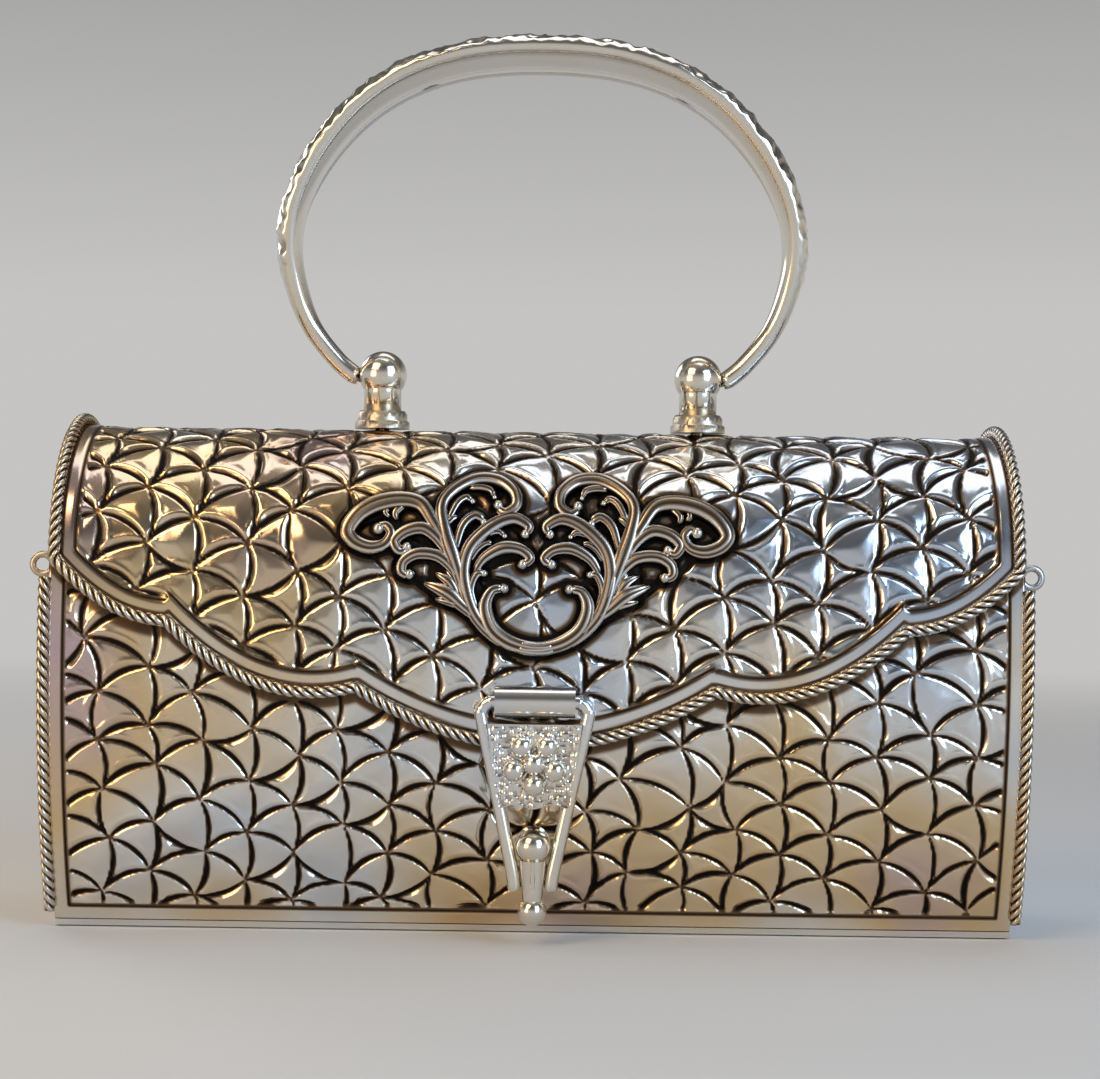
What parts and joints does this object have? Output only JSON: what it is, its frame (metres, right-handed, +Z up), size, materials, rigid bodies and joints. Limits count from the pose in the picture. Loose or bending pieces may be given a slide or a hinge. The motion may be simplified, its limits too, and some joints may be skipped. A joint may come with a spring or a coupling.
{
  "type": "box purse",
  "caption": "Silver box purse with a chased lattice, rope trim, scalloped hinged lid, scroll ornament, wire hasp and swing handle.",
  "frame": {"origin": "centre of the underside", "axes": "+X to the right seen from the front, front faces -Y, +Z up"},
  "size_m": [0.2074, 0.0713, 0.187],
  "materials": {
    "silver": "polished silver with blackened recesses"
  },
  "bodies": {
    "purse_body": {"front_panel": "silver", "back_panel": "silver", "base_plate": "silver", "left_cheek": "silver", "right_cheek": "silver", "left_edge_rope": "silver", "right_edge_rope": "silver", "clasp_stud": "silver", "left_chain_eye": "silver", "right_chain_eye": "silver", "left_body_knuckle": "silver", "middle_body_knuckle": "silver", "right_body_knuckle": "silver", "hinge_pin": "silver"},
    "lid": {"lid_shell": "silver", "lid_rope": "silver", "scroll_ornament": "silver", "hasp_tube": "silver", "left_collar": "silver", "right_collar": "silver", "left_post": "silver", "right_post": "silver", "left_nut": "silver", "right_nut": "silver", "left_lid_knuckle": "silver", "right_lid_knuckle": "silver"},
    "hasp": {"hasp_wire": "silver", "hasp_plate": "silver", "flower_centre": "silver", "petal_1": "silver", "petal_2": "silver", "petal_3": "silver", "petal_4": "silver", "petal_5": "silver"},
    "handle": {"handle": "silver"}
  },
  "joints": [
    {"name": "lid_hinge", "type": "hinge", "parent": "purse_body", "child": "lid", "pos_m": [0, 0.03031, 0.076], "axis": [-1, 0, 0], "range_deg": [0, 100]},
    {"name": "hasp_hinge", "type": "hinge", "parent": "lid", "child": "hasp", "pos_m": [0, -0.03338, 0.0482], "axis": [-1, 0, 0], "range_deg": [0, 150]},
    {"name": "handle_swing", "type": "hinge", "parent": "lid", "child": "handle", "pos_m": [0, 0, 0.115], "axis": [1, 0, 0], "range_deg": [-90, 105]}
  ]
}
